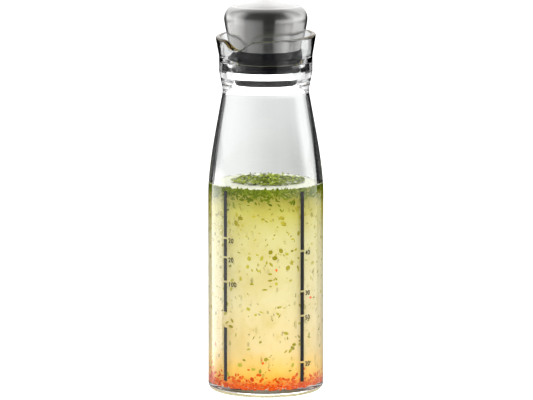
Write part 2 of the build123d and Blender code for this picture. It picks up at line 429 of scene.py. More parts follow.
def turned(name, outline, angles, warp=None):
    """A turned surface: each outline point (r, z) goes to (r sin a, -r cos a, z) for every azimuth a.

    The outline runs with the material on its left, so that faces point outwards. A point on the
    axis becomes one vertex, and an outline with no point there closes on itself.
    """
    p = np.asarray(outline, float)
    on_axis = p[:, 0] < 1e-7
    rows, columns = len(p), len(angles)
    r, a = np.meshgrid(p[:, 0], angles, indexing="ij")
    z = np.repeat(p[:, 1:2], columns, axis=1)
    grid = np.stack([r * np.sin(a), -r * np.cos(a), z], axis=2)
    if warp is not None:
        grid = warp(grid)
    index = np.arange(rows * columns).reshape(rows, columns)
    quads, fans = [], []
    after = np.roll(index, -1, axis=1)
    spans = list(range(rows - 1)) + ([] if on_axis.any() else [rows - 1])
    for i in spans:
        j = (i + 1) % rows
        if on_axis[i] and on_axis[j]:
            continue
        if on_axis[i]:
            fans.append(np.stack([np.full(columns, index[i, 0]), after[j], index[j]], axis=1))
        elif on_axis[j]:
            fans.append(np.stack([index[i], after[i], np.full(columns, index[j, 0])], axis=1))
        else:
            quads.append(np.stack([index[i], after[i], after[j], index[j]], axis=1))
    faces = ([np.vstack(quads)] if quads else []) + ([np.vstack(fans)] if fans else [])
    used = np.unique(np.concatenate([f.ravel() for f in faces]))
    renumber = np.full(rows * columns, -1)
    renumber[used] = np.arange(len(used))
    return mesh_object(name, grid.reshape(-1, 3)[used], [renumber[f] for f in faces])


def dress(piece, body, slot, material, *nodes):
    """Put a finished piece on its body, over the nodes it stands for, with its material."""
    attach(piece, body)
    if nodes:
        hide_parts(*nodes)
    piece.data.materials.clear()
    piece.data.materials.append(material)


# Materials


def set_input(tree, socket, value):
    """Link an input to a socket, or give it a plain value. A plain colour is a triple."""
    if isinstance(value, bpy.types.NodeSocket):
        tree.links.new(value, socket)
    else:
        socket.default_value = (*value, 1.0) if socket.type == "RGBA" else value


def add_node(tree, kind, inputs=None, **settings):
    """A shader node with its settings, and its inputs linked or set by name or number."""
    made = tree.nodes.new("ShaderNode" + kind)
    for key, value in settings.items():
        setattr(made, key, value)
    for key, value in (inputs or {}).items():
        set_input(tree, made.inputs[key], value)
    return made


def shader(tree, kind, inputs=None):
    """The shader that a node gives."""
    return add_node(tree, kind, inputs).outputs[0]


def number_from(tree, operation, *values):
    """The result of a Math node on sockets or numbers."""
    return add_node(tree, "Math", dict(enumerate(values)), operation=operation).outputs["Value"]


def vector_from(tree, operation, *values):
    """The result of a Vector Math node on sockets or triples, a number for a product or a length."""
    made = add_node(tree, "VectorMath", dict(enumerate(values)), operation=operation)
    return made.outputs["Value" if operation in ("DOT_PRODUCT", "LENGTH") else "Vector"]


def mapped(tree, value, low, high, first, last, course="LINEAR"):
    """A number that goes from first, where a value is low, to last, where it is high."""
    limits = {"Value": value, "From Min": low, "From Max": high, "To Min": first, "To Max": last}
    return add_node(tree, "MapRange", limits, interpolation_type=course).outputs["Result"]


def mask(tree, value, low, high):
    """A soft mask: 0 where a value is low, and 1 where it is high."""
    return mapped(tree, value, low, high, 0.0, 1.0, "SMOOTHSTEP")


def mix_shaders(tree, factor, first, second):
    """One shader where a factor is 0, and another where it is 1."""
    return shader(tree, "MixShader", {"Fac": factor, 1: first, 2: second})


def mix_colours(tree, factor, first, second, blend="MIX"):
    """A colour mixed from two by a factor."""
    inputs = {"Factor": factor, 6: first, 7: second}
    return add_node(tree, "Mix", inputs, data_type="RGBA", blend_type=blend).outputs[2]


def tinted(tree, base, tint):
    """A colour multiplied by a tint."""
    return mix_colours(tree, 1.0, base, tint, "MULTIPLY")


def upward(tree, vector):
    """How far a vector goes up."""
    return add_node(tree, "SeparateXYZ", {"Vector": vector}).outputs["Z"]


def object_point(tree, scale=(1, 1, 1)):
    """The object coordinates, scaled."""
    place = add_node(tree, "TexCoord").outputs["Object"]
    return add_node(tree, "Mapping", {"Vector": place, "Scale": scale}).outputs["Vector"]


def noise(tree, point, scale, detail, roughness=0.5):
    """The outputs of a noise over a point."""
    inputs = {"Vector": point, "Scale": scale, "Detail": detail, "Roughness": roughness}
    return add_node(tree, "TexNoise", inputs).outputs


def bumps(tree, height, strength, distance):
    """The normal of a bumpy surface."""
    inputs = {"Height": height, "Strength": strength, "Distance": distance}
    return add_node(tree, "Bump", inputs).outputs["Normal"]


def shared_group(name, inputs, outputs, fill):
    """A node group with (kind, name) sockets, filled when it is first asked for."""
    group = bpy.data.node_groups.get(name)
    if group is None:
        group = bpy.data.node_groups.new(name, "ShaderNodeTree")
        for way, sockets in (("INPUT", inputs), ("OUTPUT", outputs)):
            for kind, title in sockets:
                group.interface.new_socket(title, in_out=way, socket_type="NodeSocket" + kind)
        given = group.nodes.new("NodeGroupInput").outputs
        fill(group, given, group.nodes.new("NodeGroupOutput").inputs)
    return group


def fill_mottled_gloss(group, given, result):
    """A roughness that strays a little from the one given."""
    mottle = noise(group, object_point(group), 900.0, 2.0)["Fac"]
    stray = mapped(group, mottle, 0.0, 1.0, 0.85, 1.15)
    set_input(group, result["Roughness"], number_from(group, "MULTIPLY", given["Roughness"], stray))


def fill_flake_shades(group, given, result):
    """Each flake's own shade from dark to light, with a faint mottle."""
    shade = add_node(group, "Attribute", attribute_name="shade").outputs["Fac"]
    mottle = noise(group, object_point(group), 1500.0, 1.0)["Fac"]
    own, other = (mix_colours(group, part, given["Dark"], given["Light"]) for part in (shade, mottle))
    set_input(group, result["Colour"], mix_colours(group, 0.3, own, other))


def new_material(name):
    """A material, and its empty node tree."""
    material = bpy.data.materials.new(name)
    material.use_nodes = True
    material.node_tree.nodes.clear()
    return material, material.node_tree


def surfaced(material, surface):
    """The material with its surface."""
    add_node(material.node_tree, "OutputMaterial", {"Surface": surface})
    return material


def glass_material():
    """Clear glass that lets light from the lamps through to the dressing."""
    material, tree = new_material("clear_glass")
    tint = (0.985, 0.995, 0.99)
    glass = shader(tree, "BsdfPrincipled", {
        "Base Color": tint, "Roughness": 0.0, "IOR": 1.5, "Transmission Weight": 1.0,
    })
    shadow = add_node(tree, "LightPath").outputs["Is Shadow Ray"]
    return surfaced(material, mix_shaders(tree, shadow, glass, shader(tree, "BsdfTransparent")))


def steel_material():
    """Satin steel, brushed round the axis."""
    material, tree = new_material("satin_steel")
    brushed = noise(tree, object_point(tree, (120, 120, 9000)), 1.0, 3.0)["Fac"]
    return surfaced(material, shader(tree, "BsdfPrincipled", {
        "Base Color": (0.72, 0.714, 0.7),
        "Metallic": 1.0,
        "Roughness": mapped(tree, brushed, 0.3, 0.7, 0.2, 0.26),
        "Anisotropic": 0.8,
        "Anisotropic Rotation": 0.25,
        "Tangent": add_node(tree, "Tangent", direction_type="RADIAL", axis="Z").outputs["Tangent"],
        "Normal": bumps(tree, brushed, 0.06, 0.04 * MM),
    }))


def moulded_material(name, base, roughness, gloss=0.04):
    """A plain moulded finish with a faint mottle in its gloss."""
    material, tree = new_material(name)
    sockets = [("Float", "Roughness")]
    mottled = shared_group("mottled_gloss", sockets, sockets, fill_mottled_gloss)
    rough = add_node(tree, "Group", {"Roughness": roughness}, node_tree=mottled).outputs["Roughness"]
    return surfaced(material, shader(tree, "BsdfPrincipled", {
        "Base Color": base, "Roughness": rough, "Specular IOR Level": gloss,
    }))


def flake_material(name, dark, light):
    """Wet chopped herbs or chilli, each flake in its own shade."""
    material, tree = new_material(name)
    ends = {"Dark": dark, "Light": light}
    inputs, outputs = [("Color", key) for key in ends], [("Color", "Colour")]
    shades = shared_group("flake_shades", inputs, outputs, fill_flake_shades)
    tint = add_node(tree, "Group", ends, node_tree=shades).outputs["Colour"]
    return surfaced(material, shader(tree, "BsdfPrincipled", {
        "Base Color": tint, "Roughness": 0.5, "Specular IOR Level": 0.0,
    }))


def fleck_mask(tree, point, stretch, turn, size, chosen):
    """A mask of soft flecks: near the point of a cell, in cells whose own random number is low."""
    placed = add_node(tree, "Mapping", {"Vector": point, "Rotation": turn, "Scale": stretch})
    cells = add_node(tree, "TexVoronoi", {"Vector": placed.outputs["Vector"], "Scale": 1.0})
    near = mask(tree, cells.outputs["Distance"], size, size * 0.45)
    own = add_node(tree, "SeparateColor", {"Color": cells.outputs["Color"]}).outputs["Red"]
    return number_from(tree, "MULTIPLY", near, mask(tree, own, chosen, chosen * 0.6))


def colour_by_height(tree, height, stops):
    """A colour that changes with height, through (height, colour) stops."""
    top = stops[-1][0]
    ramp = add_node(tree, "ValToRGB", {"Fac": mapped(tree, height, 0.0, top, 0.0, 1.0)})
    elements = ramp.color_ramp.elements
    while len(elements) < len(stops):
        elements.new(1.0)
    for element, (level, tint) in zip(elements, stops):
        element.position = level / top
        element.color = (*tint, 1.0)
    return ramp.outputs["Color"]


# The heights, as shares of the fill, where the dressing has its colours, and a rise for them all
COLOUR_SHARES = {
    "foot": 0.04, "ember": 0.065, "glow": 0.09, "amber": 0.135, "low": 0.23,
    "pale": 0.47, "middle": 0.76, "upper": 0.88, "herby": 0.96,
}
COLOUR_RISE = 4 * MM
# Sorts of flecks deep in the dressing: stretch, turn, size, share of the cells, and strength
FLECKS = (
    ((300, 300, 130), (0.3, 0.2, 0.0), 0.27, 0.4, 0.35),
    ((280, 360, 160), (0.9, -0.5, 0.3), 0.24, 0.4, 0.5),
    ((420, 420, 260), (-0.7, 0.6, 0.8), 0.24, 0.4, 0.7),
)


def suspension_material():
    """The cloudy dressing: coloured by height, clouded, flecked with herbs that lie deeper.

    Its top and underside are painted pale: a painted highlight on the top and painted light from
    below on the underside. Painted shade makes it deeper where it curves away at the sides, and light
    soaks in a little.
    """
    c = values_of("contents")
    material, tree = new_material("cloudy_dressing")
    place = add_node(tree, "TexCoord").outputs["Object"]
    uneven = noise(tree, place, 230.0, 4.0, 0.65)
    wander = vector_from(tree, "MULTIPLY", uneven["Color"], (3 * MM, 3 * MM, 8 * MM))
    moved = vector_from(tree, "ADD", place, wander)
    shares = COLOUR_SHARES.items()
    stops = [(c.fill_level * part + COLOUR_RISE, getattr(c, name)) for name, part in shares]
    now = colour_by_height(tree, upward(tree, moved), stops)
    cloud = mask(tree, noise(tree, place, 60.0, 3.0)["Fac"], 0.42, 0.68)
    grain = mask(tree, uneven["Fac"], 0.5, 0.78)
    for part, tint in ((cloud, (0.94, 0.9, 0.74)), (grain, (0.92, 0.88, 0.66))):
        now = mix_colours(tree, part, now, tinted(tree, now, tint))
    for *sort, strength in FLECKS:
        part = number_from(tree, "MULTIPLY", fleck_mask(tree, moved, *sort), strength)
        now = mix_colours(tree, part, now, c.steeped_leaf)
    # Painted light: pale on faces that point up, a painted highlight, and on faces that point down,
    # painted light from below
    facing_up = upward(tree, add_node(tree, "NewGeometry").outputs["Normal"])
    for inner, outer in ((0.5, 0.9), (-0.7, -0.95)):
        now = mix_colours(tree, mask(tree, facing_up, inner, outer), now, c.surface)
    # Painted shade: a deeper, darker colour where the dressing curves away from view at its sides
    facing_away = add_node(tree, "LayerWeight", {"Blend": 0.5}).outputs["Facing"]
    curved, upright = mask(tree, facing_away, 0.45, 0.95), mask(tree, facing_up, 0.5, 0.3)
    edge = number_from(tree, "MULTIPLY", curved, upright)
    return surfaced(material, shader(tree, "BsdfPrincipled", {
        "Base Color": mix_colours(tree, edge, now, tinted(tree, now, (0.82, 0.7, 0.45))),
        "Roughness": 0.3,
        "Subsurface Weight": 0.2,
        "Subsurface Radius": (1.0, 0.85, 0.5),
        "Subsurface Scale": 1.5 * MM,
        "Normal": bumps(tree, uneven["Fac"], 0.1, 0.3 * MM),
    }))


# Pieces


def lip_warp(grid):
    """Slope the rim down to the front, and lower it over the pouring lip.

    The rim falls evenly with y from the back to the front. Across the lip it drops further, to
    a rounded V that rises inwards. Heights between the ledge and the rim shrink in proportion.
    """
    g = values_of("glass")
    x, y, z = grid[..., 0], grid[..., 1], grid[..., 2]
    radius = np.hypot(x, y)
    front = y < 0
    bottom = g.lip_bottom
    v = g.lip_depth + bottom - np.sqrt((x / g.lip_slope) ** 2 + bottom**2)
    slope = g.rim_fall * (g.rim_radius - y) / (2 * g.rim_radius)
    v = v - g.lip_fall * (g.rim_radius - radius) - slope
    drop = (v + np.sqrt(v**2 + g.lip_shoulder**2)) / 2
    at_rest = (-g.lip_depth * 2 + np.sqrt((g.lip_depth * 2) ** 2 + g.lip_shoulder**2)) / 2
    drop = slope + np.where(front, np.maximum(drop - at_rest, 0), 0)
    share_up = np.clip((z - g.ledge_level) / (g.rim_level - g.ledge_level), 0, 1)
    lowered = grid.copy()
    lowered[..., 2] = z - drop * share_up
    return lowered


def make_bottle():
    """The glass bottle: its outside and inside outlines turned as one closed skin."""
    outline = np.vstack([outer_outline(), inner_outline()[1:]])
    angles = lip_angles(steps=220, lip_steps=110, lip_half=np.radians(33))
    bottle = turned("glass_bottle", outline, angles, lip_warp)
    dress(bottle, VESSEL, "glass", glass_material(), "bottle")


def cap_outline(inset):
    """The cap's form, from the lower edge to the top, smaller by an inset.

    The flare is a quadratic curve that ends upright, and the dome is a part of a ball.
    """
    s = values_of("stopper")
    foot, side = s.foot_radius - inset, s.cap_radius - inset
    drop = s.dome_radius - np.sqrt(s.dome_radius**2 - s.cap_radius**2)
    crown = s.cap_top - drop
    upright = s.foot_level + (crown - s.foot_level) * s.side_share
    t = np.linspace(0, 1, 16)[:, None]
    a, b, c = np.array([(foot, s.foot_level), (side, s.foot_level + s.flare), (side, upright)])
    flare = (1 - t) ** 2 * a + 2 * t * (1 - t) * b + t**2 * c
    top = s.cap_top - inset
    ball = (side**2 + (top - crown) ** 2) / (2 * (top - crown))
    start = np.degrees(np.arcsin((ball - top + crown) / ball))
    dome = arc((0, top - ball), ball, start, 90, 28)
    points = rounded(np.vstack([flare, dome]), ((side, crown), s.crown_round - inset), steps=12)
    points[-1, 0] = 0
    return without_repeats(points)


def make_cap():
    """The steel cap: its outer and inner forms joined round a rolled lower edge."""
    s = values_of("stopper")
    outer = cap_outline(0)
    inner = cap_outline(s.shell)[::-1]
    middle = (outer[0] + inner[-1]) / 2
    hem = arc(middle, s.shell / 2, 180, 360, 9)[1:-1]
    outline = np.vstack([inner, hem, outer])
    cap = turned("steel_cap", outline, even_angles(144))
    dress(cap, STOPPER, "steel", steel_material(), "cap_shell")


# Where the lip rings lie, as shares of the plug's depth from its foot
RING_SHARES = (0.25, 0.75)


def make_seal():
    """The silicone seal: a turned flange over a plug with two lip rings."""
    s = values_of("stopper")
    plug_foot = s.seat_level - s.plug_depth
    seal_top = s.foot_level - s.seal_gap
    recess = plug_foot + s.spool_height
    flange_top = s.seat_level + s.flange_height
    ring_levels = (plug_foot + s.plug_depth * part for part in RING_SHARES)
    rings = [arc((s.plug_radius, level), s.ring_radius, -90, 90, 9) for level in ring_levels]
    points = np.vstack([
        (s.stem_hole, recess),
        (s.spool_radius, recess),
        (s.spool_radius, plug_foot),
        (s.plug_radius, plug_foot),
        *rings,
        (s.plug_radius, s.seat_level),
        (s.flange_radius, s.seat_level),
        (s.flange_radius, flange_top),
        (s.foot_radius, seal_top),
        (s.stem_hole, seal_top),
    ])
    points = rounded(
        points,
        ((s.flange_radius, flange_top), s.flange_round),
        ((s.foot_radius, seal_top), s.flange_round / 2),
    )
    seal = turned("silicone_seal", points, even_angles(120))
    silicone = moulded_material("black_silicone", (0.005, 0.005, 0.006), 0.6)
    dress(seal, STOPPER, "silicone", silicone, "stopper_seal")


def make_dressing():
    """The dressing: the bottle's inside outline up to its surface, turned, a little into the glass.

    Its edge falls away from the glass in half a parabola.
    """
    g, c = values_of("glass"), values_of("contents")
    wall = inner_outline()[::-1]
    level = c.fill_level
    inside = wall[wall[:, 1] < level - c.meniscus]
    sunk = np.clip((g.floor_corner - inside[:, 1] + g.base) / g.floor_corner, 0, 1)
    inside = inside + c.wetting * np.stack([np.ones(len(inside)), -sunk], axis=1)
    inside[0, 0] = 0
    edge = wall_radius(wall, level) + c.wetting
    t = np.linspace(0, 1, 7)[:, None]
    climb = np.hstack([edge - c.meniscus * t, level - c.meniscus / 2 * (1 - (1 - t) ** 2)])
    outline = np.vstack([inside, (edge, level), climb[1:], (0, climb[-1, 1])])
    piece = turned("cloudy_dressing", without_repeats(outline), even_angles(160))
    dress(piece, VESSEL, "dressing", suspension_material(), "dressing")


def flakes(name, centres, normals, sizes, widths, rng):
    """Chopped flakes: each is a small bent leaf, a grid of three by two cells.

    A point at (u, v) on the leaf goes to the centre plus u along a random direction in the
    flake's plane, v across it, and a bend along the normal that grows with u squared. The
    leaf narrows towards both ends.
    """
    total, rows, columns = len(centres), 4, 3
    u, v = np.meshgrid(np.linspace(-1, 1, rows), np.linspace(-1, 1, columns), indexing="ij")
    u, v = u.ravel(), v.ravel()
    n = normals / np.linalg.norm(normals, axis=1, keepdims=True)
    along = np.cross(n, rng.normal(size=(total, 3)))
    along /= np.linalg.norm(along, axis=1, keepdims=True)
    across = np.cross(n, along)
    long = np.asarray(sizes)[:, None]
    wide = long * rng.uniform(*widths, (total, 1))
    bend = long * rng.uniform(-0.1, 0.1, (total, 1))
    skew = rng.uniform(-0.4, 0.4, (total, 1))
    taper = 1 - 0.7 * u**2
    points = (
        centres[:, None]
        + (long * u)[..., None] * along[:, None]
        + (wide * v * taper + skew * wide * u)[..., None] * across[:, None]
        + (bend * u**2)[..., None] * n[:, None]
    )
    leaf = cells(np.arange(u.size).reshape(rows, columns))
    faces = (np.arange(total)[:, None, None] * u.size + leaf).reshape(-1, 4)
    leaves = mesh_object(name, points.reshape(-1, 3), [faces])
    carry(leaves, "shade", np.repeat(rng.random(total), u.size))
    return leaves


def flakes_by_wall(name, levels, sizes, widths, rng):
    """Flakes that lie just inside the glass's wall at given heights, all round."""
    a = rng.uniform(0, FULL_TURN, len(levels))
    out = np.stack([np.sin(a), -np.cos(a), np.zeros(len(a))], axis=1)
    radius = wall_radius(inner_outline(), levels) + values_of("contents").wetting
    radius += rng.uniform(0.03, 0.12, len(a)) * MM
    centres = np.column_stack([radius * out[:, 0], radius * out[:, 1], levels])
    return flakes(name, centres, out, sizes, widths, rng)


def make_herbs():
    """Chopped herbs: a raft on the dressing, a thick band below it, and flakes adrift further down."""
    s, c = values_of("studio"), values_of("contents")
    rng = np.random.default_rng(s.seed)
    n = c.raft_count
    a = rng.uniform(0, FULL_TURN, n)
    r = c.raft_radius * rng.uniform(0, 1, n) ** 0.6
    behind, right = np.array(around(180)), np.array(around(90))
    levels = c.fill_level + rng.uniform(-0.5, 0.1, n) * MM
    heap = np.column_stack([r * np.sin(a), -r * np.cos(a), levels])
    heap += c.raft_offset * behind + c.raft_aside * right
    up = np.array([0, 0, 1.0]) + rng.normal(0, 0.2, (n, 3))
    sizes = c.flake * rng.uniform(0.7, 2.0, n)
    raft = flakes("herb_raft", heap, up, sizes, (0.25, 0.6), rng)
    n, band_top = c.band_count, c.fill_level - 0.7 * MM
    levels = band_top - rng.exponential(c.band_depth, n)
    sizes = c.flake * rng.uniform(0.5, 1.45, n)
    band = flakes_by_wall("herb_band", levels, sizes, (0.2, 0.5), rng)
    n, lowest, highest = c.adrift_count, 9 * MM, c.fill_level - 3 * MM
    levels = lowest + (highest - lowest) * rng.uniform(0, 1, n) ** 0.7
    sizes = c.flake * rng.uniform(0.4, 1.0, n) ** 2 * 1.3
    adrift = flakes_by_wall("herbs_adrift", levels, sizes, (0.3, 0.95), rng)
    dress(raft, VESSEL, "herbs", flake_material("floating_herbs", c.top_leaf, c.dry_leaf), "herb_layer")
    dress(band, VESSEL, "herbs", flake_material("chopped_herbs", c.leaf, c.young_leaf))
    dress(adrift, VESSEL, "herbs", flake_material("steeped_herbs", c.steeped_leaf, c.faded_leaf))


def make_chilli():
    """Chilli flakes: settled on the floor, and a few adrift."""
    c = values_of("contents")
    rng = np.random.default_rng(values_of("studio").seed + 1)
    floor = values_of("glass").base
    n = c.settled_count
    levels = floor + 0.5 * MM + rng.exponential(c.settled_height, n)
    sizes = c.flake * rng.uniform(0.35, 1.1, n)
    settled = flakes_by_wall("settled_chilli", levels, sizes, (0.4, 0.9), rng)
    n = c.stray_count
    levels = floor + (c.fill_level - floor) * rng.uniform(0.1, 0.95, n)
    sizes = c.flake * rng.uniform(0.6, 1.3, n)
    adrift = flakes_by_wall("chilli_adrift", levels, sizes, (0.5, 0.9), rng)
    material = flake_material("chilli_flakes", c.chilli, c.young_chilli)
    dress(settled, VESSEL, "chilli", material, "chilli_sediment")
    dress(adrift, VESSEL, "chilli", material)


def bar_azimuths():
    """The azimuth of each printed bar."""
    p = values_of("print")
    second = p.front_azimuth + p.front_pitch
    back = (FULL_TURN - p.front_pitch) / 3
    return [p.front_azimuth, second, second + back, second + 2 * back]


# The ticks of both sorts of bar, each with its number, and the first sort's bare stretch. Places
# are shares of a bar from its foot
HERB_TICKS = ((0.525, "100"), (0.653, "20"), (0.754, "20"))
OIL_TICKS = ((0.103, "20"), (0.348, "50"), (0.477, "30"), (0.689, "40"))
BARE_STRETCH = (0.283, 0.366)
STRIP_STEP = 3 * MM
# The numbers' face: a digit's height in its size, the room for each digit, and how narrow it is
FACE_HEIGHT, FACE_SPACE, FACE_WIDTH = 0.72, 1.12, 0.9


def on_glass(across, levels, off):
    """Points on the body's outside: an arc length across from -Y, a height, a distance off it."""
    a = across / values_of("glass").body_radius
    r = wall_radius(outer_outline(), levels) + off
    return np.stack([r * np.sin(a), -r * np.cos(a), levels], axis=-1)


def printed_strip(across, width, low, high):
    """One piece of a bar: a thin closed strip that follows the glass.

    Its section runs along the inner face and back along the outer one, and is carried upwards.
    """
    p = values_of("print")
    rows = max(2, int((high - low) / STRIP_STEP) + 1)
    levels = np.linspace(low, high, rows)
    half = np.linspace(-1, 1, 4)
    sides = np.r_[half, half[::-1]] * width / 2
    off = p.lift + np.repeat([0, 1], len(half)) * p.thickness
    x, z = np.meshgrid(across + sides, levels)
    points = on_glass(x, z, np.broadcast_to(off, x.shape))
    index = np.arange(x.size).reshape(x.shape)
    after = np.roll(index, -1, axis=1)
    quads = np.stack([index[:-1], after[:-1], after[1:], index[1:]], axis=2).reshape(-1, 4)
    caps = np.array([index[0][::-1], index[-1]])
    return points.reshape(-1, 3), quads, caps


def joined(name, parts):
    """One mesh object from several (points, quads, caps) parts."""
    points, quads, caps, base = [], [], [], 0
    for p, q, c in parts:
        points.append(p)
        quads.append(q + base)
        caps.append(c + base)
        base += len(p)
    return mesh_object(name, np.vstack(points), [np.vstack(quads), np.vstack(caps)])


def make_bar(index, azimuth, ticks, bare, material):
    """One printed bar, broken at its ticks and over its bare stretch."""
    p = values_of("print")
    span = p.bar_top - p.bar_foot
    breaks = [(p.bar_foot + span * s - p.tick / 2, p.bar_foot + span * s + p.tick / 2) for s, _ in ticks]
    if bare:
        breaks.append(tuple(p.bar_foot + span * s for s in BARE_STRETCH))
    edges = [p.bar_foot, *(z for pair in sorted(breaks) for z in pair), p.bar_top]
    across = azimuth * values_of("glass").body_radius
    parts = [printed_strip(across, p.bar_width, low, high) for low, high in zip(edges[::2], edges[1::2])]
    bar = joined(f"printed_bar_{index}", parts)
    bar.data.shade_flat()
    dress(bar, VESSEL, "enamel", material, f"scale_bar_{index}")


def make_digits(index, azimuth, ticks, material):
    """The plain numbers beside a bar, wrapped round the glass.

    Each number is a flat text made a mesh. Its x becomes arc length, its y height and its z
    distance off the glass.
    """
    p = values_of("print")
    span = p.bar_top - p.bar_foot
    for k, (tick_share, text) in enumerate(ticks, start=1):
        curve = bpy.data.curves.new("digits", "FONT")
        curve.body = text
        curve.size = p.digit_height / FACE_HEIGHT
        curve.extrude = p.thickness / 2
        curve.space_character = FACE_SPACE
        curve.offset = p.digit_weight
        flat = bpy.data.objects.new("digits", curve)
        mesh = bpy.data.meshes.new_from_object(flat)
        co = np.empty(len(mesh.vertices) * 3, np.float32)
        mesh.vertices.foreach_get("co", co)
        co = co.reshape(-1, 3).astype(float)
        start = azimuth * values_of("glass").body_radius + p.bar_width / 2 + p.digit_gap
        levels = p.bar_foot + span * tick_share - p.digit_drop - p.digit_height / 2 + co[:, 1]
        wrapped = on_glass(start + co[:, 0] * FACE_WIDTH, levels, co[:, 2] + p.lift + p.thickness / 2)
        mesh.vertices.foreach_set("co", wrapped.astype(np.float32).ravel())
        mesh.update()
        piece = bpy.data.objects.new(f"number_{index}_{k}", mesh)
        bpy.context.scene.collection.objects.link(piece)
        bpy.data.objects.remove(flat)
        dress(piece, VESSEL, "enamel", material)


# Studio


def around(azimuth_degrees, distance=1.0, height=0.0):
    """A place at an azimuth from the camera's own, towards its right, a distance from the axis."""
    a = values_of("studio").azimuth + np.radians(azimuth_degrees)
    return (distance * np.sin(a), -distance * np.cos(a), height)


def bounced(tree, kind):
    """A mask for rays with an earlier bounce of a kind: Glossy, Diffuse or Transmission."""
    return mask(tree, add_node(tree, "LightPath").outputs[kind + " Depth"], 0.4, 0.6)


def after_mirror(tree, plain, mirrored):
    """A shader that is one thing seen straight or through glass, and another after any mirror bounce."""
    return mix_shaders(tree, bounced(tree, "Glossy"), plain, mirrored)


def make_floor():
    """A wide pale floor. Mirror bounces pass it, so that the cards show down to the bottle's foot.

    Through the glass it looks white, with a painted grey shade to the right of the axis.
    """
    half = values_of("studio").floor_size
    points = np.array([(-half, -half, 0), (half, -half, 0), (half, half, 0), (-half, half, 0)])
    floor = mesh_object("floor", points, [np.array([[0, 1, 2, 3]])])
    material, tree = new_material("pale_floor")
    place = object_point(tree)
    aside = vector_from(tree, "DOT_PRODUCT", place, around(90))
    away = vector_from(tree, "LENGTH", place)
    # Places in metres, then the brightness there, which paints a grey shade to the right of the axis
    left = mapped(tree, aside, -0.16, -0.03, 1.0, 0.98)
    right = mapped(tree, aside, -0.04, 0.055, 1.0, 0.6)
    painted_floor_shade = number_from(tree, "MULTIPLY", left, right)
    for part in (mapped(tree, aside, 0.08, 0.12, 0.0, 1.0), mask(tree, away, 0.6, 1.2)):
        painted_floor_shade = mix_colours(tree, part, painted_floor_shade, WHITE)
    pale = shader(tree, "BsdfPrincipled", {
        "Base Color": (0.8, 0.8, 0.8),
        "Roughness": 0.8,
        "Specular IOR Level": 0.0,
        "Emission Color": WHITE,
        "Emission Strength": mapped(tree, away, 0.024, 0.032, 1.6, 0.25),
    })
    undiffused = number_from(tree, "SUBTRACT", 1.0, bounced(tree, "Diffuse"))
    through = number_from(tree, "MULTIPLY", bounced(tree, "Transmission"), undiffused)
    seen = mix_shaders(tree, through, pale, shader(tree, "Emission", {"Color": painted_floor_shade}))
    seen = after_mirror(tree, seen, shader(tree, "BsdfTransparent"))
    floor.data.materials.append(surfaced(material, seen))


def card_strength(tree):
    """The light that each place on a card has."""
    return add_node(tree, "Attribute", attribute_name="radiance").outputs["Fac"]


def for_mirrors(material, light):
    """A card's material: its light after a mirror bounce, and clear before it."""
    tree = material.node_tree
    material.cycles.emission_sampling = "NONE"
    return surfaced(material, after_mirror(tree, shader(tree, "BsdfTransparent"), light))


def card_material():
    """A card's own light, and no more than a little for rays that come down steeply.

    Those rays come from the flare of the cap, which would mirror the bright rows.
    """
    material, tree = new_material("studio_card")
    fall = upward(tree, add_node(tree, "NewGeometry").outputs["Incoming"])
    most = mapped(tree, fall, 0.19, 0.25, 10.0, 0.8)
    strength = number_from(tree, "MINIMUM", card_strength(tree), most)
    return for_mirrors(material, shader(tree, "Emission", {"Strength": strength}))


def low_card_material():
    """A card's own light, for rays from the front of the bottle below its shoulder.

    A ray starts at the place where it meets the card, plus its length along the way back.
    """
    material, tree = new_material("low_card")
    meeting = add_node(tree, "NewGeometry").outputs
    ray_length = add_node(tree, "LightPath").outputs["Ray Length"]
    start = vector_from(tree, "MULTIPLY_ADD", meeting["Incoming"], ray_length, meeting["Position"])
    low = mask(tree, upward(tree, start), 114 * MM, 94 * MM)
    front = mask(tree, vector_from(tree, "DOT_PRODUCT", start, around(0)), 0.0, 6 * MM)
    light = shader(tree, "Emission", {"Strength": card_strength(tree)})
    part = number_from(tree, "MULTIPLY", low, front)
    return for_mirrors(material, mix_shaders(tree, part, shader(tree, "BsdfTransparent"), light))


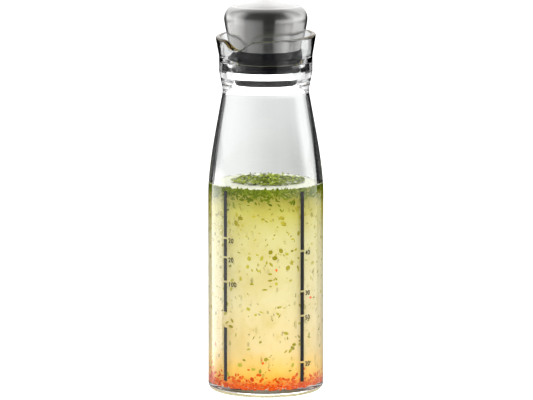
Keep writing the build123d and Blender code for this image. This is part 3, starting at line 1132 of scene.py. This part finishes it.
# Each card's name, the azimuths it spans from the camera's own, and its stops. A stop gives one
# or two heights in metres, and the light there at the first and the last azimuth
BEHIND = (-1.2, -0.45, 0.05, 0.05)
CARDS = (
    ("front", -8, 26, ((-1.2, 1.6, 0.03, 0.02),)),
    ("front_left", -60, -8, ((-1.2, 0.2, 0.38, 0.14), (0.42, 0.06, 0.03), (1.6, 0.03, 0.03))),
    ("left_wing", -98, -60, (
        (-1.2, -0.45, 0.2, 0.1), (-0.38, -0.19, 0.7, 0.4), (-0.17, -0.02, 2.2, 0.5), (0.0, 0.7, 0.4),
        (0.12, 1.15, 0.42), (0.3, 1.25, 0.42), (0.42, 1.0, 0.08), (1.6, 0.4, 0.03),
    )),
    ("front_right", 26, 60, (
        (-1.2, -0.19, 0.22, 0.6), (-0.17, -0.03, 0.05, 0.05), (0.0, 0.2, 0.4, 0.9),
        (0.42, 0.03, 0.12), (1.6, 0.03, 0.03),
    )),
    ("right_wing", 60, 83, (
        (-1.2, -0.19, 0.95, 1.15), (-0.17, -0.03, 0.05, 0.1), (0.0, 0.2, 0.85, 0.9),
        (0.42, 0.12, 0.75), (1.6, 0.03, 0.4),
    )),
    ("left_softbox", -135, -98, (
        BEHIND, (-0.38, -0.23, 0.6, 0.6), (-0.2, -0.06, 4.2, 4.2), (-0.03, 0.08, 0.02, 0.3),
        (0.1, 1.3, 0.9), (0.3, 1.35, 0.9), (0.5, 0.5, 0.85), (1.6, 0.1, 0.6),
    )),
    ("right_softbox", 83, 122, (
        BEHIND, (-0.38, -0.2, 1.1, 0.9), (-0.17, -0.06, 1.9, 1.6), (-0.03, 0.08, 0.4, 0.01),
        (0.1, 1.3, 1.15), (0.3, 1.2, 1.1), (0.5, 0.85, 0.5), (1.6, 0.6, 0.1),
    )),
    ("left_flag", -172, -142, (
        BEHIND, (-0.38, -0.1, 0.35, 0.5), (-0.06, 0.2, 0.02, 0.02), (0.27, 0.8, 0.5),
        (0.4, 1.1, 0.6), (0.95, 1.25, 0.9), (1.25, 0.8, 0.9), (1.6, 0.5, 0.7),
    )),
    ("left_edge", -142, -135, (
        BEHIND, (-0.38, -0.06, 0.8, 0.8), (-0.03, 0.1, 0.02, 0.02), (0.13, 0.2, 0.6, 0.9),
        (0.27, 0.85, 0.9), (1.0, 0.9, 0.8), (1.6, 0.7, 0.6),
    )),
    ("right_edge", 122, 142, (
        BEHIND, (-0.38, -0.04, 0.8, 0.8), (-0.02, 0.11, 0.01, 0.0), (0.14, 0.2, 1.1, 0.6),
        (0.27, 0.9, 0.8), (1.0, 0.8, 0.8), (1.6, 0.6, 0.6),
    )),
    ("right_flag", 142, 172, (
        BEHIND, (-0.38, -0.1, 0.5, 0.35), (-0.06, 0.2, 0.0, 0.0), (0.27, 0.5, 0.8),
        (0.4, 0.6, 1.1), (0.95, 0.9, 1.25), (1.25, 0.9, 0.9), (1.6, 0.7, 0.5),
    )),
    ("back", 172, 188, (
        BEHIND, (-0.38, 0.7, 0.7), (0.2, 0.25, 0.25), (0.27, 1.0, 1.0), (0.4, 0.95, 1.35, 1.35),
        (1.25, 0.8, 0.8), (1.6, 0.5, 0.5),
    )),
)
# Short bright lamps, level with the collar's mirror image
COLLAR_LAMPS = (
    ("left_lamp", -130, -120, ((-0.055, -0.025, 1.3, 1.3),)),
    ("right_lamp", 120, 133, ((-0.055, -0.025, 1.1, 1.1),)),
)
# Cards that make the pale veils down both sides of the body
LOW_CARDS = (
    ("low_left_card", -135, -98, ((-0.055, 4.2, 4.2), (0.3, 3.0, 3.0))),
    ("low_right_card", 60, 122, ((-0.055, 0.1, 1.7), (0.02, 1.3, 2.8), (0.3, 1.5, 2.5))),
)
# How far the lamps and the low cards stand from the axis, as shares of the cards' distance
LAMP_SHARE, LOW_SHARE = 0.98, 0.96


def make_card(material, nearer, name, start, end, stops):
    """One upright card, a part of a cylinder: (d sin a, -d cos a, z) over rows of height.

    Each row's light runs evenly from its first azimuth to its last.
    """
    columns = 9
    s = values_of("studio")
    distance = s.card_distance * nearer
    a = s.azimuth + np.radians(np.linspace(start, end, columns))
    ring = np.stack([distance * np.sin(a), -distance * np.cos(a)], axis=1)
    rows = [(z, *stop[-2:]) for stop in stops for z in stop[:-2]]
    points = np.vstack([np.column_stack([ring, np.full(columns, z)]) for z, _, _ in rows])
    light = np.concatenate([np.linspace(first, last, columns) for _, first, last in rows])
    index = np.arange(len(points)).reshape(len(rows), columns)
    card = mesh_object(name, points, [cells(index.T)])
    carry(card, "radiance", light)
    card.data.materials.append(material)
    card.visible_camera = card.visible_diffuse = card.visible_shadow = False


def make_cards():
    """The cards round the bottle, which only mirror bounces see, from below the floor up."""
    even, low = card_material(), low_card_material()
    sorts = (even, 1.0, CARDS), (even, LAMP_SHARE, COLLAR_LAMPS), (low, LOW_SHARE, LOW_CARDS)
    for material, nearer, cards in sorts:
        for card in cards:
            make_card(material, nearer, *card)


def make_world():
    """A plain white room. Mirrors see it dim: brighter towards the floor than the ceiling.

    The ceiling itself is bright over the back and dark over the front.
    """
    world = bpy.data.worlds.new("studio_room")
    bpy.context.scene.world = world
    world.use_nodes = True
    tree = world.node_tree
    white = tree.nodes["Background"]
    set_input(tree, white.inputs["Color"], WHITE)
    incoming = add_node(tree, "NewGeometry").outputs["Incoming"]
    fall = upward(tree, incoming)
    room = mapped(tree, fall, -0.4, 0.3, 0.28, 0.55)
    forward = vector_from(tree, "DOT_PRODUCT", incoming, around(0))
    overhead = mapped(tree, forward, -0.3, 0.6, 0.12, 1.9)
    ceiling = mix_colours(tree, mask(tree, fall, -0.3, -0.5), WHITE, overhead)
    outside = number_from(tree, "MULTIPLY", room, ceiling)
    inside = mapped(tree, fall, 0.5, 0.8, 0.6, 0.15)
    grey = mix_colours(tree, bounced(tree, "Transmission"), outside, inside)
    dim = shader(tree, "Background", {"Color": grey})
    seen = after_mirror(tree, white.outputs["Background"], dim)
    set_input(tree, tree.nodes["World Output"].inputs["Surface"], seen)


def make_camera():
    """A long lens at the photograph's angle."""
    s = values_of("studio")
    data = bpy.data.cameras.new("camera")
    data.lens = s.lens
    data.shift_x = s.shift
    data.clip_start, data.clip_end = 0.05, 50
    camera = bpy.data.objects.new("camera", data)
    camera.location = around(0, s.distance, s.height)
    aim = Vector((0, 0, s.aim_level)) - camera.location
    camera.rotation_euler = aim.to_track_quat("-Z", "Y").to_euler()
    bpy.context.scene.collection.objects.link(camera)
    bpy.context.scene.camera = camera


# Each sun's name, strength and spread in degrees, and where it shines from
SUNS = (
    ("overhead", 0.8, 80, (180, 0.35, 1.0)),
    ("front_fill", 2.2, 60, (8, 1.0, 0.5)),
    ("back_fill", 1.8, 60, (188, 1.0, 0.5)),
)


def make_sun(name, energy, spread, place):
    """A wide soft light, from a place towards the bottle, that mirrors don't see."""
    data = bpy.data.lights.new(name, "SUN")
    data.energy = energy
    data.angle = np.radians(spread)
    lamp = bpy.data.objects.new(name, data)
    lamp.rotation_euler = (-Vector(around(*place))).to_track_quat("-Z", "Y").to_euler()
    lamp.visible_glossy = False
    bpy.context.scene.collection.objects.link(lamp)


def make_studio():
    """The floor, the room, the light, the cards round the bottle and the camera.

    Light bounces often enough to leave the glass of the mouth, where it mirrors many times.
    """
    make_floor()
    make_world()
    for sun in SUNS:
        make_sun(*sun)
    make_cards()
    make_camera()
    scene = bpy.context.scene
    scene.cycles.max_bounces = 24
    scene.cycles.glossy_bounces = 12
    scene.cycles.transmission_bounces = 20
    scene.view_settings.view_transform = "Standard"


class SHAKER_OT_bottle(bpy.types.Operator):
    """Make the glass bottle"""

    bl_idname = "shaker.bottle"
    bl_label = "Glass bottle"

    def execute(self, context):
        make_bottle()
        return {"FINISHED"}


class SHAKER_OT_stopper(bpy.types.Operator):
    """Make the steel cap and the silicone seal, and finish the core inside"""

    bl_idname = "shaker.stopper"
    bl_label = "Stopper"

    def execute(self, context):
        make_cap()
        make_seal()
        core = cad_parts["cap_core"]
        core.data.materials.clear()
        core.data.materials.append(moulded_material("black_core", (0.02, 0.02, 0.022), 0.4))
        return {"FINISHED"}


class SHAKER_OT_contents(bpy.types.Operator):
    """Make the dressing, its herbs and its settled chilli"""

    bl_idname = "shaker.contents"
    bl_label = "Contents"

    def execute(self, context):
        make_dressing()
        make_herbs()
        make_chilli()
        return {"FINISHED"}


class SHAKER_OT_print(bpy.types.Operator):
    """Make the printed bars and their plain numbers"""

    bl_idname = "shaker.print"
    bl_label = "Printed scales"

    def execute(self, context):
        material = moulded_material("black_enamel", (0.004, 0.003, 0.002), 0.25, 0.5)
        for index, azimuth in enumerate(bar_azimuths(), start=1):
            first_sort = index % 2 == 1
            ticks = HERB_TICKS if first_sort else OIL_TICKS
            make_bar(index, azimuth, ticks, first_sort, material)
            make_digits(index, azimuth, ticks, material)
        return {"FINISHED"}


class SHAKER_OT_studio(bpy.types.Operator):
    """Make the floor, the light and the camera"""

    bl_idname = "shaker.studio"
    bl_label = "Studio"

    def execute(self, context):
        make_studio()
        return {"FINISHED"}


OPERATORS = (SHAKER_OT_bottle, SHAKER_OT_stopper, SHAKER_OT_contents, SHAKER_OT_print, SHAKER_OT_studio)


class SHAKER_PT_panel(bpy.types.Panel):
    """The shaker's pieces and sizes"""

    bl_label = "Dressing Shaker"
    bl_idname = "SHAKER_PT_panel"
    bl_space_type = "VIEW_3D"
    bl_region_type = "UI"
    bl_category = "Shaker"

    def draw(self, context):
        for operator in OPERATORS:
            self.layout.operator(operator.bl_idname)
        for name, kind in GROUPS.items():
            column = self.layout.box().column()
            for key in kind.__annotations__:
                column.prop(values_of(name), key)


# Each kind of values, as values_of names it
GROUPS = {
    "glass": ShakerGlassSizes,
    "stopper": ShakerStopperSizes,
    "print": ShakerPrintSizes,
    "contents": ShakerContentSizes,
    "studio": ShakerStudio,
}


def register():
    """Register the classes and hang the property groups on the scene."""
    for kind in (*GROUPS.values(), *OPERATORS, SHAKER_PT_panel):
        bpy.utils.register_class(kind)
    for name, kind in GROUPS.items():
        setattr(bpy.types.Scene, "shaker_" + name, PointerProperty(type=kind))


def unregister():
    """Take the property groups off the scene and unregister the classes."""
    for name in GROUPS:
        delattr(bpy.types.Scene, "shaker_" + name)
    for kind in (SHAKER_PT_panel, *reversed(OPERATORS), *reversed(GROUPS.values())):
        bpy.utils.unregister_class(kind)


def main():
    """Make everything."""
    register()
    bpy.ops.shaker.bottle()
    bpy.ops.shaker.stopper()
    bpy.ops.shaker.contents()
    bpy.ops.shaker.print()
    bpy.ops.shaker.studio()


if __name__ == "__main__":
    main()
